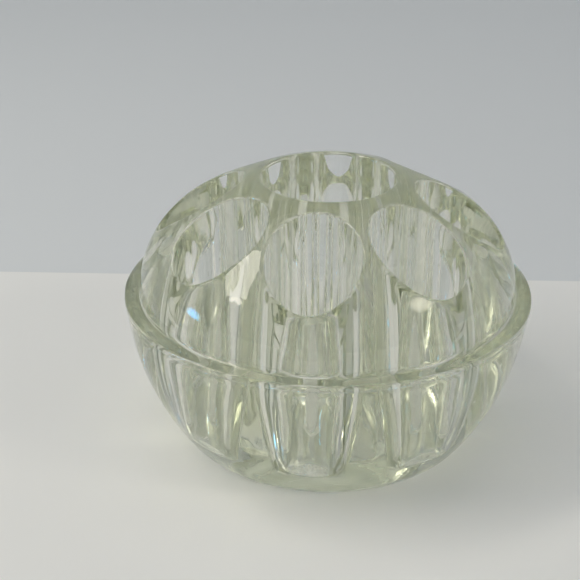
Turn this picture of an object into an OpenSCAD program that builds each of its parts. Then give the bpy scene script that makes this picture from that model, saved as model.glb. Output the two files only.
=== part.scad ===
// Domed pressed-glass flower frog: one solid block of pale green glass with a
// ring of blind stem holes round a larger centre hole. It has no loose pieces.
// The origin is the centre of the flat base, +Z is up, and one hole of the
// ring lies on the -Y side.

/* [Block] */
// Overall diameter across the ledge
ledge_d = 114; // [106:1:130]
// Thickness of the ledge at its outer edge
ledge_t = 1.9; // [1.6:0.1:3]
// Radius of the rounded outer edge of the ledge
ledge_edge_r = 0.6; // [0.3:0.1:0.8]
// Height of the flat top of the ledge above the base
ledge_z = 43.2; // [40:0.2:46]

/* [Dome] */
// Diameter of the dome where it meets the ledge
dome_d = 105.4; // [103:0.1:108]
// Height of the dome's full curve above the ledge
dome_h = 34.9; // [33:0.1:38]
// Radius of the dome's shoulder arc, tangent to the crown arc
shoulder_r = 27; // [26:0.5:29]
// Radius of the small round in the corner between dome and ledge
foot_r = 1.0; // [0.5:0.1:1.5]

/* [Bowl] */
// Diameter that the bowl's curved side would reach at its widest
bowl_d = 113.6; // [112:0.1:114]
// Height above the base at which the curve would be widest
bowl_wide_z = 46; // [44:0.5:50]
// Radius of the curved side
bowl_r = 75; // [72:0.5:80]
// Radius of the rounded edge of the base
base_edge_r = 5; // [3:0.5:7]

/* [Ring of stem holes] */
// Number of holes in the ring
ring_n = 8; // [6:1:8]
// Distance of the ring holes from the block's axis
ring_r = 35.7; // [35:0.1:36.5]
// Diameter of the straight upper part of a ring hole
ring_hole_d = 24.6; // [16:0.1:25]
// Height above the base at which a ring hole starts to taper
ring_taper_z = 34; // [28:1:38]
// Taper of the lower part of a ring hole, each side, in degrees
ring_draft = 8.5; // [6:0.5:11]

/* [Centre hole] */
// Diameter of the straight upper part of the centre hole
centre_hole_d = 36.6; // [28:0.1:37.5]
// Height above the base at which the centre hole starts to taper
centre_taper_z = 34; // [28:1:38]
// Taper of the lower part of the centre hole, each side, in degrees
centre_draft = 8.5; // [6:0.5:11]
// Radius of the rounded lip of the centre hole
lip_r = 0.8; // [0.4:0.1:1]

/* [Hole floors] */
// Thickness of solid glass under the holes
floor_t = 9; // [7:0.5:12]
// Radius in the corner between a hole's side and its floor
floor_r = 2; // [1:0.5:3]

/* [Hidden] */
$fn = 180;

// Crown arc: centre on the axis, tangent to the shoulder arc.
shoulder_x = dome_d / 2 - shoulder_r;
crown_r = (shoulder_x * shoulder_x + dome_h * dome_h - shoulder_r * shoulder_r)
          / (2 * (dome_h - shoulder_r));
crown_z = dome_h - crown_r;
crown_span = sqrt(shoulder_x * shoulder_x + crown_z * crown_z);
// Where the two arcs meet, measured from the ledge's top.
blend_x = shoulder_x * crown_r / crown_span;
blend_z = crown_z - crown_z * crown_r / crown_span;

// Base edge: a small circle tangent to the flat base and to the side's arc.
bowl_x = bowl_d / 2 - bowl_r;
edge_x = bowl_x + sqrt(pow(bowl_r - base_edge_r, 2) - pow(bowl_wide_z - base_edge_r, 2));
edge_meet_z = bowl_wide_z + (base_edge_r - bowl_wide_z) * bowl_r / (bowl_r - base_edge_r);
edge_meet_x = bowl_x + (edge_x - bowl_x) * bowl_r / (bowl_r - base_edge_r);

// Height of the crown at the centre hole's wall, and its slope there.
lip_x = centre_hole_d / 2;
lip_z = ledge_z + crown_z + sqrt(crown_r * crown_r - lip_x * lip_x);
// Centre of the lip's round: inside the crown arc and outside the hole's wall.
lip_cx = lip_x + lip_r;
lip_cz = ledge_z + crown_z + sqrt(pow(crown_r - lip_r, 2) - lip_cx * lip_cx);
lip_meet_x = lip_cx * crown_r / (crown_r - lip_r);

top_z = ledge_z + dome_h + 5;

// Half section of the dome: crown arc over shoulder arc.
module dome_half() {
    intersection() {
        translate([0, ledge_z + crown_z]) circle(r = crown_r);
        translate([0, ledge_z + blend_z]) square([blend_x, dome_h]);
    }
    intersection() {
        translate([shoulder_x, ledge_z]) circle(r = shoulder_r);
        translate([0, ledge_z - 1]) square([dome_d, blend_z + 1]);
    }
    translate([0, ledge_z - 1]) square([shoulder_x, blend_z + 1]);
    // round in the corner between the dome's foot and the ledge
    difference() {
        translate([dome_d / 2 - 1, ledge_z - 1]) square([foot_r + 0.97, foot_r + 1]);
        translate([dome_d / 2 + foot_r, ledge_z + foot_r]) circle(r = foot_r);
    }
}

// Half section of the ledge: a flat band with a rounded outer edge.
module ledge_half() {
    translate([0, ledge_z - ledge_t]) square([ledge_d / 2 - ledge_edge_r, ledge_t]);
    translate([0, ledge_z - ledge_t + ledge_edge_r])
        square([ledge_d / 2, ledge_t - 2 * ledge_edge_r]);
    for (z = [ledge_z - ledge_edge_r, ledge_z - ledge_t + ledge_edge_r])
        translate([ledge_d / 2 - ledge_edge_r, z]) circle(r = ledge_edge_r);
}

// Half section of the bowl: one curved side and a rounded base edge.
module bowl_half() {
    intersection() {
        translate([bowl_x, bowl_wide_z]) circle(r = bowl_r);
        translate([0, edge_meet_z]) square([ledge_d, ledge_z - ledge_t / 2 - edge_meet_z]);
    }
    square([edge_x, edge_meet_z + 0.5]);
    intersection() {
        translate([edge_x, base_edge_r]) circle(r = base_edge_r);
        square([ledge_d, edge_meet_z]);
    }
}

// Half section of a blind hole: straight above, tapered below, and a flat
// floor with a rounded corner.
module hole_half(d, taper_z, draft) {
    cz = floor_t + floor_r;
    cx = d / 2 + ((cz - taper_z) * sin(draft) - floor_r) / cos(draft);
    polygon([
        [0, floor_t],
        [cx, floor_t],
        [cx + floor_r * cos(draft), cz - floor_r * sin(draft)],
        [d / 2, taper_z],
        [d / 2, top_z],
        [0, top_z]
    ]);
    intersection() {
        translate([cx, cz]) circle(r = floor_r);
        translate([0, floor_t - 1]) square([d, floor_r + 1.5]);
    }
}

// The rounded lip is what this leaves of the sharp edge round the centre hole.
module lip_cut() {
    difference() {
        translate([lip_x - 0.5, lip_cz]) square([lip_meet_x - lip_x + 0.5, 5]);
        translate([lip_cx, lip_cz]) circle(r = lip_r);
    }
}

module solid_half() {
    intersection() {
        translate([0, -1]) square([ledge_d, top_z + 2]);
        union() {
            dome_half();
            ledge_half();
            bowl_half();
        }
    }
}

module glass_block() {
    color([0.78, 0.82, 0.70, 0.55])
    difference() {
        rotate_extrude()
            difference() {
                solid_half();
                hole_half(centre_hole_d, centre_taper_z, centre_draft);
                lip_cut();
            }
        for (i = [0 : ring_n - 1])
            rotate([0, 0, -90 + i * 360 / ring_n])
                translate([ring_r, 0, 0])
                    rotate_extrude()
                        hole_half(ring_hole_d, ring_taper_z, ring_draft);
    }
}

glass_block();
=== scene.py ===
import math
import random

import bmesh
import bpy
import numpy as np
from mathutils import Matrix, Vector


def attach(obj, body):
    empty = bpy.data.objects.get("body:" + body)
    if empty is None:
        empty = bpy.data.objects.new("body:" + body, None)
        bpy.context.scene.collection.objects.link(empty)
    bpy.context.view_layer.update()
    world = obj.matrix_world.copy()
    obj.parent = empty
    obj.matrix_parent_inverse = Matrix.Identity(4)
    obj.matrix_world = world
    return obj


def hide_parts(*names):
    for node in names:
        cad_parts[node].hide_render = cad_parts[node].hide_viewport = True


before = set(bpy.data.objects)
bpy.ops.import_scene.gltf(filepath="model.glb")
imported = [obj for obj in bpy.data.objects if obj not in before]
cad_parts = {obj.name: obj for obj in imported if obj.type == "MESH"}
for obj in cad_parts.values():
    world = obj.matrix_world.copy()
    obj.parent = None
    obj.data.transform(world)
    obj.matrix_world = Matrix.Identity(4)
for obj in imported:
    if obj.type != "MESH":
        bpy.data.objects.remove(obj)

scene = bpy.context.scene
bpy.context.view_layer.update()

# ---------------------------------------------------------------- dimensions
# The same sizes as the CAD part, in millimetres.
LEDGE_R, LEDGE_T, LEDGE_EDGE, LEDGE_Z = 57.0, 1.9, 0.6, 43.2
DOME_R, DOME_H, SHOULDER, FOOT_R = 52.7, 34.9, 27.0, 1.0
BOWL_D, BOWL_WIDE_Z, BOWL_R, BASE_EDGE = 113.6, 46.0, 75.0, 5.0
RING_N, RING_R, RING_HOLE_R, RING_TAPER_Z, RING_DRAFT = 8, 35.7, 12.3, 34.0, math.radians(8.5)
CEN_R, CEN_TAPER_Z, CEN_DRAFT, LIP_R = 18.3, 34.0, math.radians(8.5), 0.8
FLOOR_T, FLOOR_R = 9.0, 2.0

SX = DOME_R - SHOULDER
CROWN = (SX * SX + DOME_H * DOME_H - SHOULDER * SHOULDER) / (2 * (DOME_H - SHOULDER))
CROWN_Z = DOME_H - CROWN
SPAN = math.hypot(SX, CROWN_Z)
BLEND_X = SX * CROWN / SPAN
LIP_CX = CEN_R + LIP_R
LIP_CZ = LEDGE_Z + CROWN_Z + math.sqrt((CROWN - LIP_R) ** 2 - LIP_CX ** 2)
LIP_MEET_X = LIP_CX * CROWN / (CROWN - LIP_R)
BOWL_X = BOWL_D / 2 - BOWL_R
EDGE_X = BOWL_X + math.sqrt((BOWL_R - BASE_EDGE) ** 2 - (BOWL_WIDE_Z - BASE_EDGE) ** 2)

FIRST = math.radians(-90)          # one ring hole lies on -Y
STEP = 2 * math.pi / RING_N
K = 136                            # points round each ring hole
R_IN, R_OUT = 19.75, 50.3          # the web grid runs between these radii
RIM_F = 0.65                       # rounding of the ring holes' rims


def dome_z(r):
    r = np.asarray(r, float)
    crown = LEDGE_Z + CROWN_Z + np.sqrt(np.maximum(CROWN ** 2 - r ** 2, 0))
    shoulder = LEDGE_Z + np.sqrt(np.maximum(SHOULDER ** 2 - np.maximum(r - SX, 0) ** 2, 0))
    return np.where(r <= BLEND_X, crown, shoulder)


def dome_slope(r):
    """dz/dr of the dome"""
    r = np.asarray(r, float)
    crown = -r / np.sqrt(np.maximum(CROWN ** 2 - r ** 2, 1e-9))
    q = np.maximum(r - SX, 0)
    shoulder = -q / np.sqrt(np.maximum(SHOULDER ** 2 - q ** 2, 1e-9))
    return np.where(r <= BLEND_X, crown, shoulder)


# ---------------------------------------------------------------- mesh
verts = []
faces = []
tags = []        # per vertex: 0 outside, 1 ring-hole wall, 2 centre-hole wall, 3 base
extra = []       # per vertex: (hole index, angle in the hole, fade)


def add(p, tag=0, ex=None):
    verts.append((float(p[0]), float(p[1]), float(p[2])))
    tags.append(tag)
    extra.append(ex)
    return len(verts) - 1


def quads(a, b, closed=True, flip=False):
    """faces between two rows of vertex ids of one length"""
    n = len(a)
    for i in range(n if closed else n - 1):
        j = (i + 1) % n
        q = (a[i], a[j], b[j], b[i])
        faces.append(tuple(reversed(q)) if flip else q)


def boundary_hit(theta):
    """where the ray at theta from a ring hole's centre leaves its sector, in the hole's own radial frame;
    returns (point, kind)"""
    dx, dy = math.cos(theta), math.sin(theta)
    best, kind = None, None
    # outer and inner circles, centred at the axis; the hole's centre is at (RING_R, 0)
    for rad, k in ((R_OUT, "out"), (R_IN, "in")):
        b = 2 * RING_R * dx
        c = RING_R ** 2 - rad ** 2
        disc = b * b - 4 * c
        if disc >= 0:
            for s in ((-b - math.sqrt(disc)) / 2, (-b + math.sqrt(disc)) / 2):
                if s > 1e-6:
                    x, y = RING_R + s * dx, s * dy
                    if abs(math.atan2(y, x)) <= STEP / 2 + 1e-6 and (best is None or s < best):
                        best, kind = s, k
    for sgn in (1, -1):
        a = sgn * STEP / 2
        # line through the axis at angle a: y cos a - x sin a = 0
        den = dy * math.cos(a) - dx * math.sin(a)
        if abs(den) > 1e-9:
            s = RING_R * math.sin(a) / den
            if s > 1e-6:
                x, y = RING_R + s * dx, s * dy
                if x > 0 and R_IN - 1e-6 <= math.hypot(x, y) <= R_OUT + 1e-6 and (best is None or s < best):
                    best, kind = s, "side"
    return (RING_R + best * dx, best * dy), kind


thetas = [2 * math.pi * j / K for j in range(K)]
hits = [boundary_hit(t) for t in thetas]
pts = [list(h[0]) for h in hits]
kinds = [h[1] for h in hits]
# snap the hit nearest each corner of the sector onto the corner
for rad in (R_OUT, R_IN):
    for sgn in (1, -1):
        c = (rad * math.cos(sgn * STEP / 2), rad * math.sin(sgn * STEP / 2))
        i = min(range(K), key=lambda j: (pts[j][0] - c[0]) ** 2 + (pts[j][1] - c[1]) ** 2)
        pts[i] = [c[0], c[1]]
        kinds[i] = "corner"


def smooth_arc(ids_kind, rad):
    """spread the points of one circle evenly between the sector's corners"""
    idx = [j for j in range(K) if kinds[j] == ids_kind or
           (kinds[j] == "corner" and abs(math.hypot(*pts[j]) - rad) < 1e-6)]
    idx.sort(key=lambda j: math.atan2(pts[j][1], pts[j][0]))
    n = len(idx)
    for m, j in enumerate(idx):
        a = -STEP / 2 + STEP * m / (n - 1)
        old = math.atan2(pts[j][1], pts[j][0])
        a = 0.5 * a + 0.5 * old if 0 < m < n - 1 else a
        pts[j] = [rad * math.cos(a), rad * math.sin(a)]
    return idx


out_idx = smooth_arc("out", R_OUT)
in_idx = smooth_arc("in", R_IN)

shared = {}


def plan_vertex(x, y):
    """a dome vertex, shared between sectors where their edges meet"""
    key = (round(x, 4), round(y, 4))
    for kx in (key[0], round(key[0] + 1e-4, 4), round(key[0] - 1e-4, 4)):
        for ky in (key[1], round(key[1] + 1e-4, 4), round(key[1] - 1e-4, 4)):
            if (kx, ky) in shared:
                return shared[(kx, ky)]
    i = add((x, y, float(dome_z(math.hypot(x, y)))))
    shared[key] = i
    return i


def hole_profile(r, taper_z, draft, z_top, rows_up, rows_down):
    """(radius, z) down a hole's wall from z_top to the floor's centre, with the change of taper eased"""
    cz = FLOOR_T + FLOOR_R
    cx = r + ((cz - taper_z) * math.sin(draft) - FLOOR_R) / math.cos(draft)
    ease = 5.0
    t0, t1 = taper_z + ease, taper_z - ease

    def wall(z):
        if z >= t0:
            return r
        if z >= t1:   # a parabola tangent to both runs
            u = (t0 - z) / (t0 - t1)
            return r - math.tan(draft) * (t0 - t1) * u * u / 2
        return r - math.tan(draft) * (taper_z - z)

    zt = cz - FLOOR_R * math.sin(draft)
    out = []
    for i in range(rows_up):
        z = z_top + (t0 - z_top) * i / rows_up
        out.append((wall(z), z))
    z_fine = zt + 4.2
    for i in range(rows_down):
        z = t0 + (z_fine - t0) * i / rows_down
        out.append((wall(z), z))
    for i in range(8):
        z = z_fine + (zt - z_fine) * i / 7
        out.append((wall(z), z))
    for i in range(1, 7):
        a = -draft - (math.pi / 2 - draft) * i / 6
        out.append((cx + FLOOR_R * math.cos(a), cz + FLOOR_R * math.sin(a)))
    for f in (0.88, 0.76, 0.62, 0.46, 0.3, 0.15):
        out.append((cx * f, FLOOR_T))
    return out


ROWS = 9
for k in range(RING_N):
    az = FIRST + k * STEP
    ca, sa = math.cos(az), math.sin(az)

    def glob(x, y):
        return x * ca - y * sa, x * sa + y * ca

    rings = [[] for _ in range(ROWS + 1)]
    rim_rows = [[] for _ in range(6)]
    columns = []
    for j, t in enumerate(thetas):
        ct, st = math.cos(t), math.sin(t)
        # the corner where the wall meets the dome, and the dome's slope away from the hole there
        x0, y0 = RING_R + RING_HOLE_R * ct, RING_HOLE_R * st
        rr = math.hypot(x0, y0)
        z0 = float(dome_z(rr))
        slope = float(dome_slope(rr)) * ((x0 * ct + y0 * st) / rr)
        beta = math.atan(slope)
        alpha = math.pi / 2 + beta            # angle of glass between wall and dome
        L = RIM_F / math.tan(alpha / 2)
        L = min(L, 1.25)
        f = L * math.tan(alpha / 2)
        ux, uz = math.cos(beta), math.sin(beta)
        # start on the dome
        s0 = RING_HOLE_R + L * ux
        xs, ys = RING_R + s0 * ct, s0 * st
        zs = float(dome_z(math.hypot(xs, ys)))
        lift = zs - (z0 + L * uz)
        # centre of the round, on the bisector
        bx, bz = ux, uz - 1.0
        bl = math.hypot(bx, bz)
        hyp = f / math.sin(alpha / 2)
        cxr, czr = RING_HOLE_R + bx / bl * hyp, z0 + bz / bl * hyp
        a_start = math.atan2(z0 + L * uz - czr, RING_HOLE_R + L * ux - cxr)
        a_end = math.pi
        for i in range(6):
            w = i / 5
            a = a_start + (a_end - a_start) * w
            s = cxr + f * math.cos(a)
            z = czr + f * math.sin(a) + lift * (1 - w) ** 2
            gx, gy = glob(RING_R + s * ct, s * st)
            rim_rows[i].append(add((gx, gy, z), 0 if i < 3 else 1, (k, t, 0.0)))
        # the web between the rim and the sector's edge
        bxp, byp = pts[j]
        hx, hy = xs, ys
        rings[0].append(rim_rows[0][-1])
        for r in range(1, ROWS + 1):
            w = r / ROWS
            w = w ** 1.15
            x, y = hx + (bxp - hx) * w, hy + (byp - hy) * w
            gx, gy = glob(x, y)
            if r == ROWS:
                rings[r].append(plan_vertex(gx, gy))
            else:
                rings[r].append(add((gx, gy, float(dome_z(math.hypot(x, y))))))
        prof = hole_profile(RING_HOLE_R, RING_TAPER_Z, RING_DRAFT, z0 - L, 8, 14)
        columns.append((t, prof[1:]))
    # web faces (outside normal up): ring index grows outward
    for r in range(ROWS):
        a, b = rings[r], rings[r + 1]
        for j in range(K):
            i2 = (j + 1) % K
            q = [a[j], a[i2], b[i2], b[j]]
            q = list(dict.fromkeys(q))
            if len(q) >= 3:
                faces.append(tuple(reversed(q)))
    for i in range(5):
        quads(rim_rows[i], rim_rows[i + 1])
    # wall, floor
    prev = rim_rows[5]
    n_rows = len(columns[0][1])
    for i in range(n_rows):
        row = []
        for (t, prof) in columns:
            s, z = prof[i]
            gx, gy = glob(RING_R + s * math.cos(t), s * math.sin(t))
            fade_top = min(1.0, (i + 1) / 5)
            fade_bot = min(1.0, max(0.0, (z - FLOOR_T - 1.0) / 4))
            row.append(add((gx, gy, z), 1, (k, t, fade_top * fade_bot)))
        quads(prev, row)
        prev = row
    gx, gy = glob(RING_R, 0)
    c = add((gx, gy, FLOOR_T), 1, (k, 0.0, 0.0))
    for j in range(K):
        faces.append((prev[j], prev[(j + 1) % K], c))

# ---- the centre hole: the lip and wall use the same azimuths as the web's inner edge
inner_az, outer_az = [], []
for k in range(RING_N):
    az = FIRST + k * STEP
    for j in in_idx[:-1]:
        inner_az.append(az + math.atan2(pts[j][1], pts[j][0]))
    for j in out_idx[:-1]:
        outer_az.append(az + math.atan2(pts[j][1], pts[j][0]))


def ring_of(azs, r, z, tag=0, fade=0.0):
    return [add((r * math.cos(a), r * math.sin(a), z), tag, (RING_N, a, fade)) for a in azs]


prev = [plan_vertex(R_IN * math.cos(a), R_IN * math.sin(a)) for a in inner_az]
lip = [(19.45, float(dome_z(19.45)))]
a0 = math.atan2(float(dome_z(LIP_MEET_X)) - LIP_CZ, LIP_MEET_X - LIP_CX)
for i in range(7):
    a = a0 + (math.pi - a0) * i / 6
    lip.append((LIP_CX + LIP_R * math.cos(a), LIP_CZ + LIP_R * math.sin(a)))
cen = lip + hole_profile(CEN_R, CEN_TAPER_Z, CEN_DRAFT, LIP_CZ, 9, 14)[1:]
for i, (r, z) in enumerate(cen):
    fade = min(1.0, max(0.0, (i - 7) / 5)) * min(1.0, max(0.0, (z - FLOOR_T - 1.0) / 4))
    row = ring_of(inner_az, r, z, 2 if i > 4 else 0, fade)
    quads(prev, row)
    prev = row
c = add((0, 0, FLOOR_T), 2, (RING_N, 0.0, 0.0))
for j in range(len(prev)):
    faces.append((prev[j], prev[(j + 1) % len(prev)], c))

# ---- the outside below the web: shoulder, ledge, bowl, base
prof = []
a_s = math.asin((R_OUT - SX) / SHOULDER)
a_foot = math.asin(min(1.0, 1.0))
n = 12
# shoulder down to the foot's round
z_foot = FOOT_R
a_e = math.acos(z_foot / SHOULDER)
for i in range(1, n + 1):
    a = a_s + (a_e - a_s) * i / n
    prof.append((SX + SHOULDER * math.sin(a), LEDGE_Z + SHOULDER * math.cos(a)))
xf, zf = prof[-1]
for i in range(1, 6):
    a = math.pi - (math.pi / 2) * i / 5
    # quarter round from the dome's foot onto the ledge
    prof.append((xf + FOOT_R + FOOT_R * math.cos(math.pi + (math.pi / 2) * i / 5),
                 LEDGE_Z + FOOT_R + FOOT_R * math.sin(math.pi + (math.pi / 2) * i / 5)))
x_end = prof[-1][0]
xe = LEDGE_R - LEDGE_EDGE
for i in range(1, 4):
    prof.append((x_end + (xe - x_end) * i / 4, LEDGE_Z))
for i in range(0, 6):
    a = math.pi / 2 - (math.pi / 2) * i / 5
    prof.append((xe + LEDGE_EDGE * math.cos(a), LEDGE_Z - LEDGE_EDGE + LEDGE_EDGE * math.sin(a)))
for i in range(0, 6):
    a = -math.radians(62) * i / 5
    prof.append((xe + LEDGE_EDGE * math.cos(a), LEDGE_Z - LEDGE_T + LEDGE_EDGE + LEDGE_EDGE * math.sin(a)))


def bowl_x_at(z):
    return BOWL_X + math.sqrt(BOWL_R ** 2 - (BOWL_WIDE_Z - z) ** 2)


z_b = LEDGE_Z - LEDGE_T - 0.35
for w in (0.35, 0.7, 1.0):       # a soft groove under the ledge
    z = prof[-1][1] + (z_b - prof[-1][1]) * w
    prof.append((bowl_x_at(z) - 0.10 * (1 - w), z))
a_0 = math.asin((z_b - BOWL_WIDE_Z) / BOWL_R)
a_b = math.asin((BASE_EDGE - BOWL_WIDE_Z) / (BOWL_R - BASE_EDGE))
for i in range(1, 35):
    a = a_0 + (a_b - a_0) * i / 34
    prof.append((BOWL_X + BOWL_R * math.cos(a), BOWL_WIDE_Z + BOWL_R * math.sin(a)))
for i in range(1, 8):
    a = a_b + (-math.pi / 2 - a_b) * i / 7
    prof.append((EDGE_X + BASE_EDGE * math.cos(a), BASE_EDGE + BASE_EDGE * math.sin(a)))
for f in (0.985, 0.62, 0.28):
    prof.append((EDGE_X * f, 0.0))

prev = [plan_vertex(R_OUT * math.cos(a), R_OUT * math.sin(a)) for a in outer_az]
for (r, z) in prof:
    row = ring_of(outer_az, r, z, 3 if z < 0.01 else 0)
    quads(prev, row, flip=True)
    prev = row
c = add((0, 0, 0), 3, (RING_N, 0.0, 0.0))
for j in range(len(prev)):
    faces.append((prev[(j + 1) % len(prev)], prev[j], c))

# ---------------------------------------------------------------- surface character
rng = random.Random(4127)
waves = {}
for h in range(RING_N + 1):
    comp = []
    for m in range(2, 37):
        amp = 0.050 / (1 + (m / 6.0) ** 2.2) * rng.uniform(0.3, 1.0)
        comp.append((m, amp, rng.uniform(0, 6.283), rng.uniform(-0.10, 0.10), rng.uniform(0, 6.283)))
    waves[h] = comp

co = np.array(verts)
mesh = bpy.data.meshes.new("glass_block_visual")
mesh.from_pydata([tuple(v) for v in co * 0.001], [], faces)
mesh.validate(verbose=False)
mesh.update()

bm = bmesh.new()
bm.from_mesh(mesh)
bmesh.ops.recalc_face_normals(bm, faces=bm.faces)
bm.normal_update()
boundary = sum(1 for e in bm.edges if not e.is_manifold)
print("open or bad edges:", boundary, "verts", len(bm.verts), "faces", len(bm.faces), "volume cm3", bm.calc_volume() * 1e6)
bm.verts.ensure_lookup_table()
normals = np.array([v.normal[:] for v in bm.verts])


def soft_noise(p, seed, scale):
    """a smooth field of a few plane waves, -1 to 1"""
    g = random.Random(seed)
    out = np.zeros(len(p))
    for _ in range(9):
        d = np.array([g.gauss(0, 1), g.gauss(0, 1), g.gauss(0, 1)])
        d /= np.linalg.norm(d)
        f = g.uniform(0.6, 1.7) / scale * 2 * math.pi
        out += np.sin(p @ d * f + g.uniform(0, 6.283))
    return out / 4.5


tag = np.array(tags)
move = np.zeros((len(co), 3))
wavy = 0.05 * soft_noise(co, 11, 34.0) + 0.018 * soft_noise(co, 12, 13.0) + 0.009 * soft_noise(co, 13, 6.0) + 0.0035 * soft_noise(co, 14, 2.8)
keep_flat = np.clip(co[:, 2] / 3.0, 0, 1)
outside = (tag == 0)
radius = np.hypot(co[:, 0], co[:, 1])
on_ledge = np.clip((radius - 53.2) / 1.0, 0, 1) * (np.abs(co[:, 2] - LEDGE_Z + 1.0) < 2.2)
wavy += on_ledge * (0.035 * soft_noise(co, 21, 9.0) + 0.020 * soft_noise(co, 22, 3.5))
# the foot's edge is chipped all round where the block has stood
chips = np.clip((2.4 - co[:, 2]) / 0.8, 0, 1) * np.clip((radius - 37.0) / 1.0, 0, 1) * np.clip(co[:, 2] / 0.25, 0, 1)
chips *= np.clip(0.35 + soft_noise(co, 41, 9.0), 0, 1)
wavy -= chips * np.random.RandomState(77).uniform(0.0, 0.16, len(co))
keep_flat = np.maximum(keep_flat, chips > 0)
move += normals * (wavy * keep_flat * outside)[:, None]
# the plunger pins left the lowest part of each hole uneven and slightly pitted
low = np.clip((14.0 - co[:, 2]) / 3.5, 0, 1) * (tag != 0) * (tag != 3)
pits = 0.075 * soft_noise(co, 31, 3.0) + 0.070 * soft_noise(co, 32, 1.5) + 0.055 * soft_noise(co, 33, 7.0)
move += normals * (pits * low)[:, None]
for i, ex in enumerate(extra):
    if ex is None or tags[i] not in (1, 2):
        continue
    h, t, fade = ex
    if fade <= 0:
        continue
    z = co[i, 2]
    d = 0.0
    for (m, amp, ph, drift, ph2) in waves[h]:
        d += amp * math.sin(m * t + ph + drift * math.sin(z / 17.0 + ph2))
    d *= 1.0 + 0.4 * min(1.0, max(0.0, (37.0 - z) / 8.0))      # the tapered half is drawn more strongly
    move[i] += normals[i] * d * fade
co2 = (co + move) * 0.001
for v, p in zip(bm.verts, co2):
    v.co = p

# seeds: tiny bubbles of air caught in the glass
seeds = []
while len(seeds) < 34:
    a, r, z = rng.uniform(0, 6.283), rng.uniform(18, 52), rng.uniform(3, 70)
    x, y = r * math.cos(a), r * math.sin(a)
    size = rng.choice((0.2, 0.26, 0.34, 0.46, 0.6))
    if z > float(dome_z(r)) - 1.5 - size or (z < LEDGE_Z and r > bowl_x_at(z) - 1.5 - size):
        continue
    clear = r - CEN_R if z > FLOOR_T - 1.5 else 9.0
    for k in range(RING_N):
        az = FIRST + k * STEP
        d = math.hypot(x - RING_R * math.cos(az), y - RING_R * math.sin(az)) - RING_HOLE_R
        if z > FLOOR_T - 1.5:
            clear = min(clear, d)
    if clear < size + 0.6:
        continue
    seeds.append((x, y, z, size, rng.uniform(1.0, 1.7), rng.uniform(0, 3.14)))
for (x, y, z, size, stretch, a) in seeds:
    place = (Matrix.Translation((x * 0.001, y * 0.001, z * 0.001)) @ Matrix.Rotation(a, 4, "Z")
             @ Matrix.Rotation(0.35, 4, "X") @ Matrix.Diagonal((size * 0.001, size * 0.001, size * stretch * 0.001, 1)))
    made = bmesh.ops.create_icosphere(bm, subdivisions=2, radius=1.0, matrix=place)
    ring_faces = {f for v in made["verts"] for f in v.link_faces}
    bmesh.ops.reverse_faces(bm, faces=list(ring_faces))
for f in bm.faces:
    f.smooth = True
bm.normal_update()
bm.to_mesh(mesh)
bm.free()
glass = bpy.data.objects.new("glass_block_visual", mesh)
scene.collection.objects.link(glass)

# ---------------------------------------------------------------- material


def new_material(name):
    m = bpy.data.materials.new(name)
    m.use_nodes = True
    nt = m.node_tree
    nt.nodes.clear()
    return m, nt


m, nt = new_material("pressed_glass")


def node(kind, **kw):
    n = nt.nodes.new(kind)
    for k_, v_ in kw.items():
        setattr(n, k_, v_)
    return n


def link_or_set(sock, v_):
    if isinstance(v_, (int, float)):
        sock.default_value = v_
    else:
        nt.links.new(v_, sock)


def nmath(op, a, b=0.0, clamp=False):
    n = node("ShaderNodeMath", operation=op, use_clamp=clamp)
    link_or_set(n.inputs[0], a)
    link_or_set(n.inputs[1], b)
    return n.outputs[0]


def noise(scale, detail=2.0, rough=0.5, distort=0.0, squash=(1, 1, 1), shift=(0, 0, 0)):
    mp = node("ShaderNodeMapping")
    mp.inputs["Scale"].default_value = squash
    mp.inputs["Location"].default_value = shift
    nt.links.new(where.outputs["Object"], mp.inputs["Vector"])
    n = node("ShaderNodeTexNoise")
    n.inputs["Scale"].default_value = scale
    n.inputs["Detail"].default_value = detail
    n.inputs["Roughness"].default_value = rough
    n.inputs["Distortion"].default_value = distort
    nt.links.new(mp.outputs["Vector"], n.inputs["Vector"])
    return n.outputs["Fac"]


def smooth_step(x, lo, hi):
    n = node("ShaderNodeMapRange", interpolation_type="SMOOTHSTEP", clamp=True)
    nt.links.new(x, n.inputs["Value"])
    n.inputs["From Min"].default_value = lo
    n.inputs["From Max"].default_value = hi
    return n.outputs["Result"]


where = node("ShaderNodeTexCoord")
part_of = node("ShaderNodeSeparateXYZ")
nt.links.new(where.outputs["Object"], part_of.inputs[0])
height = part_of.outputs["Z"]

# hairline scratches and chill marks: thin contour lines of one noise, in a few patches only
patch = noise(27.0, 1.0, 0.5, 0.0, (1, 1, 1), (1.7, 0.4, 0.9))
line = nmath("ABSOLUTE", nmath("SUBTRACT", noise(60.0, 0.0, 0.4, 1.2), 0.5))
hair = nmath("MULTIPLY", nmath("SUBTRACT", 1.0, smooth_step(line, 0.0012, 0.0040)), smooth_step(patch, 0.54, 0.60))
# the foot is worn dull where it has stood, in a broken ring of fine scratches
foot = nmath("SUBTRACT", 1.0, smooth_step(height, 0.0006, 0.0018))
across = node("ShaderNodeVectorMath", operation="LENGTH")
flat = node("ShaderNodeVectorMath", operation="MULTIPLY")
nt.links.new(where.outputs["Object"], flat.inputs[0])
flat.inputs[1].default_value = (1, 1, 0)
nt.links.new(flat.outputs["Vector"], across.inputs[0])
foot = nmath("MULTIPLY", foot, smooth_step(across.outputs["Value"], 0.0365, 0.0385))
worn = nmath("MULTIPLY", foot, smooth_step(noise(480.0, 1.0, 0.65), 0.46, 0.60))
# faint smudges and water marks
dull = nmath("ADD", 0.008, nmath("MULTIPLY", smooth_step(patch, 0.35, 0.60), 0.016))
dull = nmath("ADD", dull, nmath("MULTIPLY", hair, 0.16))
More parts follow.
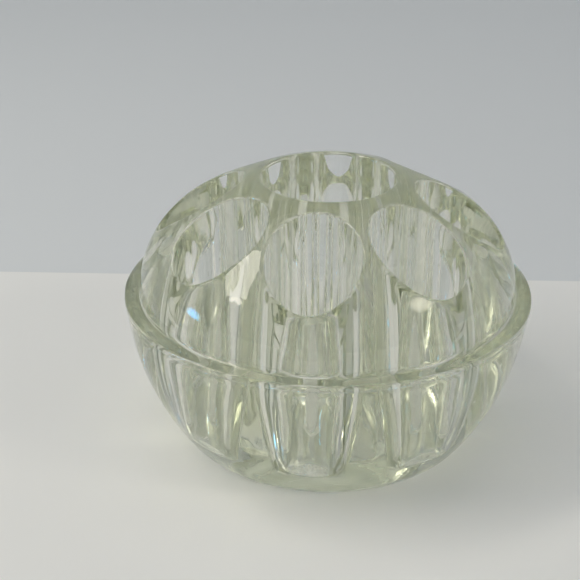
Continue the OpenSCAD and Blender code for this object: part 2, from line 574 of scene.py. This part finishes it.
# the underside keeps the mould's fine grain, which blurs what it mirrors
under = nmath("SUBTRACT", 1.0, smooth_step(height, 0.0001, 0.0004))
dull = nmath("ADD", dull, nmath("MULTIPLY", under, 0.22))
dull = nmath("ADD", dull, nmath("MULTIPLY", worn, 0.45))
# fine ripple drawn down the faces by the mould, with the scratches cut in
relief = nmath("SUBTRACT", noise(560.0, 1.0, 0.55, 0.0, (1, 1, 0.22)), nmath("MULTIPLY", hair, 0.8))
relief = nmath("ADD", relief, nmath("MULTIPLY", worn, 3.0))
bump = node("ShaderNodeBump")
bump.inputs["Strength"].default_value = 0.35
bump.inputs["Distance"].default_value = 0.00002
nt.links.new(relief, bump.inputs["Height"])

out = node("ShaderNodeOutputMaterial")
bsdf = node("ShaderNodeBsdfPrincipled")
bsdf.inputs["Base Color"].default_value = (1.0, 1.0, 1.0, 1)
bsdf.inputs["Transmission Weight"].default_value = 1.0
bsdf.inputs["IOR"].default_value = 1.52
nt.links.new(nmath("MINIMUM", dull, 0.4), bsdf.inputs["Roughness"])
nt.links.new(bump.outputs["Normal"], bsdf.inputs["Normal"])
vol = node("ShaderNodeVolumeAbsorption")
vol.inputs["Color"].default_value = (0.43, 0.49, 0.16, 1)
vol.inputs["Density"].default_value = 7.6
nt.links.new(bsdf.outputs["BSDF"], out.inputs["Surface"])
nt.links.new(vol.outputs["Volume"], out.inputs["Volume"])
glass.data.materials.append(m)

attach(glass, "root")
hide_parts("glass_block")

# ---------------------------------------------------------------- camera
R = 57.0
d_c, h_c, pitch, yaw, focal = 5.310 * R, 2.606 * R + LEDGE_Z, math.radians(26.51), math.radians(-1.99), 1190.0
turn = math.radians(5.63)       # the block's own front hole lies on -Y
rot = Matrix.Rotation(turn, 3, "Z")
fwd = rot @ Vector((math.sin(yaw) * math.cos(pitch), math.cos(yaw) * math.cos(pitch), -math.sin(pitch)))
right = rot @ Vector((math.cos(yaw), -math.sin(yaw), 0))
up = right.cross(fwd)
pos = rot @ Vector((0, -d_c, 0)) * 0.001
pos.z = h_c * 0.001
cam_data = bpy.data.cameras.new("camera")
cam_data.sensor_width = 36.0
cam_data.lens = focal / 580.0 * 36.0
cam_data.clip_start = 0.01
cam_data.clip_end = 20
cam = bpy.data.objects.new("camera", cam_data)
scene.collection.objects.link(cam)
cam.matrix_world = Matrix((
    (right.x, up.x, -fwd.x, pos.x),
    (right.y, up.y, -fwd.y, pos.y),
    (right.z, up.z, -fwd.z, pos.z),
    (0, 0, 0, 1)))
scene.camera = cam

# ---------------------------------------------------------------- stage


def ray_to_floor(px, py):
    d = fwd * focal + right * (px - 290) - up * (py - 290)
    s = -pos.z / d.z
    return pos + d * s


pl, pr = ray_to_floor(60, 272), ray_to_floor(540, 280)
line = (pr - pl).normalized()
back = Vector((-line.y, line.x, 0))
mid = (pl + pr) / 2


def strip(name, offsets, z_of, rgb, half=3.0):
    """a sheet that runs along the line, through the given distances behind it"""
    vs, fs = [], []
    for o in offsets:
        for s in (-half, half):
            p = mid + back * o + line * s
            vs.append((p.x, p.y, z_of(o)))
    for i in range(len(offsets) - 1):
        fs.append((2 * i, 2 * i + 1, 2 * i + 3, 2 * i + 2))
    me = bpy.data.meshes.new(name)
    me.from_pydata(vs, [], fs)
    me.update()
    for p in me.polygons:
        p.use_smooth = True
    ob = bpy.data.objects.new(name, me)
    scene.collection.objects.link(ob)
    mm, t = new_material(name)
    o2 = t.nodes.new("ShaderNodeOutputMaterial")
    b = t.nodes.new("ShaderNodeBsdfPrincipled")
    b.inputs["Base Color"].default_value = (*rgb, 1)
    b.inputs["Roughness"].default_value = 0.75
    b.inputs["Specular IOR Level"].default_value = 0.3
    t.links.new(b.outputs["BSDF"], o2.inputs["Surface"])
    me.materials.append(mm)
    return ob


def cove(o):
    start, rad = 0.75, 0.35
    if o <= start:
        return 0.0
    if o <= start + rad:
        u = o - start
        return rad - math.sqrt(max(rad * rad - u * u, 0))
    return rad + (o - start - rad) * 60


table = strip("floor", [-3.0, 0.0], lambda o: -0.00025, (0.85, 0.85, 0.83))
cove_o = [0.0, 0.3, 0.75] + [0.75 + 0.35 * math.sin(math.radians(a)) for a in range(5, 91, 5)] + [1.13]
drop = strip("backdrop", cove_o, lambda o: cove(o) - 0.00025, (0.70, 0.725, 0.74))

# ---------------------------------------------------------------- light
world = bpy.data.worlds.new("world")
scene.world = world
world.use_nodes = True
wn = world.node_tree
wn.nodes.clear()


def wnode(kind, **kw):
    n = wn.nodes.new(kind)
    for k_, v_ in kw.items():
        setattr(n, k_, v_)
    return n


def wmath(op, a, b, clamp=False):
    n = wnode("ShaderNodeMath", operation=op, use_clamp=clamp)
    for sock, v_ in zip(n.inputs, (a, b)):
        if isinstance(v_, (int, float)):
            sock.default_value = v_
        else:
            wn.links.new(v_, sock)
    return n.outputs[0]


def glow(az, el, inner, outer):
    """1 inside a soft-edged disc of the sky, 0 outside it; angles in degrees"""
    a, e = math.radians(az), math.radians(el)
    dot = wnode("ShaderNodeVectorMath", operation="DOT_PRODUCT")
    wn.links.new(tc.outputs["Generated"], dot.inputs[0])
    dot.inputs[1].default_value = (math.cos(e) * math.cos(a), math.cos(e) * math.sin(a), math.sin(e))
    mr = wnode("ShaderNodeMapRange", interpolation_type="SMOOTHSTEP", clamp=True)
    wn.links.new(dot.outputs["Value"], mr.inputs["Value"])
    mr.inputs["From Min"].default_value = math.cos(math.radians(outer))
    mr.inputs["From Max"].default_value = math.cos(math.radians(inner))
    return mr.outputs["Result"]


# a pale room, brighter overhead and beyond the block, with one broad warm light
# at the upper left, a smaller one at the upper right and a slit of blue daylight
wo = wnode("ShaderNodeOutputWorld")
tc = wnode("ShaderNodeTexCoord")
sep = wnode("ShaderNodeSeparateXYZ")
wn.links.new(tc.outputs["Generated"], sep.inputs[0])
tone = wmath("ADD", wmath("MULTIPLY", sep.outputs["Y"], 0.75), wmath("MULTIPLY", sep.outputs["Z"], 0.55))
tone = wmath("ADD", tone, wmath("MULTIPLY", sep.outputs["X"], -0.15), clamp=True)
level = wmath("ADD", wmath("MULTIPLY", tone, 0.28), 0.37)
lp = wnode("ShaderNodeLightPath")
plain = wnode("ShaderNodeBackground")
plain.inputs["Color"].default_value = (0.80, 0.85, 0.88, 1)
plain.inputs["Strength"].default_value = 0.70
room = wnode("ShaderNodeBackground")
room.inputs["Color"].default_value = (0.93, 0.96, 1.0, 1)
wn.links.new(level, room.inputs["Strength"])
total = room.outputs[0]
for (az, el, inner, outer, power, rgb) in (
        (-148, 33, 1, 4, 9.0, (1.0, 0.94, 0.82)),
        (-20, 31, 1, 9, 7.0, (1.0, 0.93, 0.78)),
        (-167, 1, 1, 7, 15.0, (0.14, 0.54, 1.0))):
    bg = wnode("ShaderNodeBackground")
    bg.inputs["Color"].default_value = (*rgb, 1)
    wn.links.new(wmath("MULTIPLY", glow(az, el, inner, outer), power), bg.inputs["Strength"])
    plus = wnode("ShaderNodeAddShader")
    wn.links.new(total, plus.inputs[0])
    wn.links.new(bg.outputs[0], plus.inputs[1])
    total = plus.outputs[0]
mixw = wnode("ShaderNodeMixShader")
wn.links.new(lp.outputs["Is Camera Ray"], mixw.inputs[0])
wn.links.new(total, mixw.inputs[1])
wn.links.new(plain.outputs[0], mixw.inputs[2])
wn.links.new(mixw.outputs[0], wo.inputs["Surface"])



def area(name, centre, along, size, power, rgb):
    """a rectangular soft light at centre, facing the block, its long side along the given direction"""
    ld = bpy.data.lights.new(name, "AREA")
    ld.shape = "RECTANGLE"
    ld.size, ld.size_y = size
    ld.energy = power
    ld.color = rgb
    ob = bpy.data.objects.new(name, ld)
    scene.collection.objects.link(ob)
    zc = (Vector(centre) - Vector((0, 0, 0.05))).normalized()
    xc = Vector(along)
    xc = (xc - zc * xc.dot(zc)).normalized()
    yc = zc.cross(xc)
    c0 = Vector(centre)
    ob.matrix_world = Matrix((
        (xc.x, yc.x, zc.x, c0.x),
        (xc.y, yc.y, zc.y, c0.y),
        (xc.z, yc.z, zc.z, c0.z),
        (0, 0, 0, 1)))
    return ob


area("softbox", (-0.51, -0.14, 0.70), (0.34, 0.83, 0.45), (0.62, 0.20), 2.3, (1.0, 0.945, 0.84))
area("overhead", (-0.05, 0.22, 1.40), (1, 0, 0), (1.2, 1.0), 0.8, (1.0, 0.985, 0.95))

scene.cycles.max_bounces = 32
scene.cycles.transmission_bounces = 32
scene.cycles.glossy_bounces = 16
scene.cycles.diffuse_bounces = 4
scene.cycles.transparent_max_bounces = 8
scene.cycles.caustics_reflective = True
scene.cycles.caustics_refractive = True
scene.cycles.sample_clamp_indirect = 8.0
scene.cycles.blur_glossy = 0.0        # keeps the light that the block passes on to the floor
scene.cycles.use_denoising = True
scene.view_settings.view_transform = "Standard"
scene.view_settings.look = "None"
